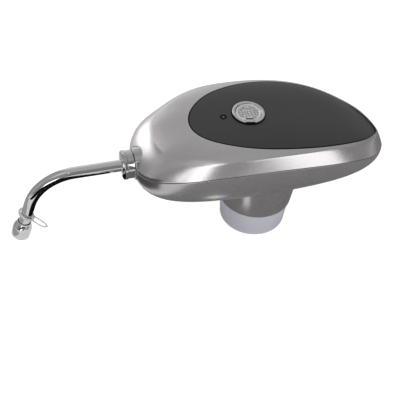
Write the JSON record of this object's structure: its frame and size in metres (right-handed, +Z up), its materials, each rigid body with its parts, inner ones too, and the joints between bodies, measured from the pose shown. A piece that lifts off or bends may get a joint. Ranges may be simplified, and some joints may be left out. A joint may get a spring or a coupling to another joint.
{
  "type": "bottled water pump",
  "caption": "Battery water pump that sits on a large bottle's neck: silver egg-shaped housing, dark top panel with push button, bent chrome spout with nut and outlet tip",
  "frame": {"origin": "on the neck's axis, on the underside of the rim seal, where the bottle's rim meets the pump", "axes": "+Z up along the neck's axis, the spout leaves towards -X, the part is symmetric about Y = 0 apart from the inlet hose and the loop of the ring"},
  "size_m": [0.3339, 0.109, 0.1255],
  "materials": {
    "silver_paint": "fine metallic silver lacquer over moulded plastic, satin gloss",
    "panel_black": "smooth satin charcoal plastic",
    "cap_silver": "satin silver plating",
    "chrome": "bright polished plating",
    "steel": "plain bright steel",
    "rubber": "matt black rubber",
    "frosted": "frosted lavender-grey plastic",
    "soft_clear": "soft cloudy plastic",
    "black_plastic": "plain black plastic",
    "white_plastic": "plain white plastic",
    "board_green": "green solder mask",
    "cell_wrap": "shrunk film"
  },
  "bodies": {
    "housing": {"upper_shell": "silver_paint", "lower_shell": "silver_paint", "shell_gasket": "rubber", "top_panel": "panel_black", "button_bezel": "chrome", "button_spring": "steel", "led_light_pipe": "soft_clear", "control_board": "board_green", "push_switch": "black_plastic", "chassis_plate": "black_plastic", "motor_can": "steel", "motor_end_cap": "black_plastic", "pump_housing": "black_plastic", "pump_cover": "black_plastic", "motor_cradle": "black_plastic", "motor_strap": "steel", "battery_cell_1": "cell_wrap", "battery_cell_2": "cell_wrap", "battery_tray": "black_plastic", "battery_contact": "steel", "inlet_hose": "soft_clear", "outlet_hose": "soft_clear", "spout_socket": "chrome", "socket_seal": "rubber", "neck_collar": "silver_paint", "bottle_adapter": "frosted", "rim_seal": "rubber", "intake_stem": "white_plastic", "charge_socket": "black_plastic", "shell_screw_1": "steel", "chassis_screw_1": "steel", "shell_screw_2": "steel", "chassis_screw_2": "steel", "shell_screw_3": "steel", "chassis_screw_3": "steel", "shell_screw_4": "steel", "chassis_screw_4": "steel", "board_screw_1": "steel", "board_screw_2": "steel"},
    "button": {"button_cap": "cap_silver"},
    "plunger": {"switch_plunger": "white_plastic"},
    "rotor": {"motor_shaft": "steel", "impeller": "white_plastic"},
    "nut": {"coupling_nut": "chrome"},
    "spout": {"spout_tube": "chrome", "tube_ferrule": "steel"},
    "clip": {"ring_clip": "soft_clear"},
    "tip": {"outlet_tip": "chrome", "outlet_screen": "steel"}
  },
  "joints": [
    {"name": "button_press", "type": "slide", "parent": "housing", "child": "button", "axis": [0, 0, -1], "range_m": [0, 0.0015], "stiffness_N_per_m": 400, "deforming": ["button_spring"]},
    {"name": "switch_plunger_press", "type": "slide", "parent": "housing", "child": "plunger", "axis": [0, 0, -1], "range_m": [0, 0.0015]},
    {"name": "impeller_spin", "type": "hinge", "parent": "housing", "child": "rotor", "pos_m": [-0.06, 0, 0.0519], "axis": [-1, 0, 0], "continuous": true},
    {"name": "coupling_nut_turn", "type": "hinge", "parent": "housing", "child": "nut", "pos_m": [-0.12, 0, 0.0478], "axis": [-1, 0, 0], "range_deg": [0, 90]},
    {"name": "spout_turn", "type": "hinge", "parent": "housing", "child": "spout", "pos_m": [-0.12, 0, 0.0478], "axis": [-1, 0, 0], "range_deg": [-45, 45]},
    {"name": "clip_turn", "type": "hinge", "parent": "spout", "child": "clip", "pos_m": [-0.20643, 0, 0.00708], "axis": [-0.284, 0, -0.9588], "range_deg": [-170, 170]},
    {"name": "outlet_tip_turn", "type": "hinge", "parent": "spout", "child": "tip", "pos_m": [-0.20867, 0, -0.00049], "axis": [-0.284, 0, -0.9588], "continuous": true}
  ],
  "couplings": [
    {"joint": "switch_plunger_press", "follows": "button_press", "ratio": 1}
  ]
}
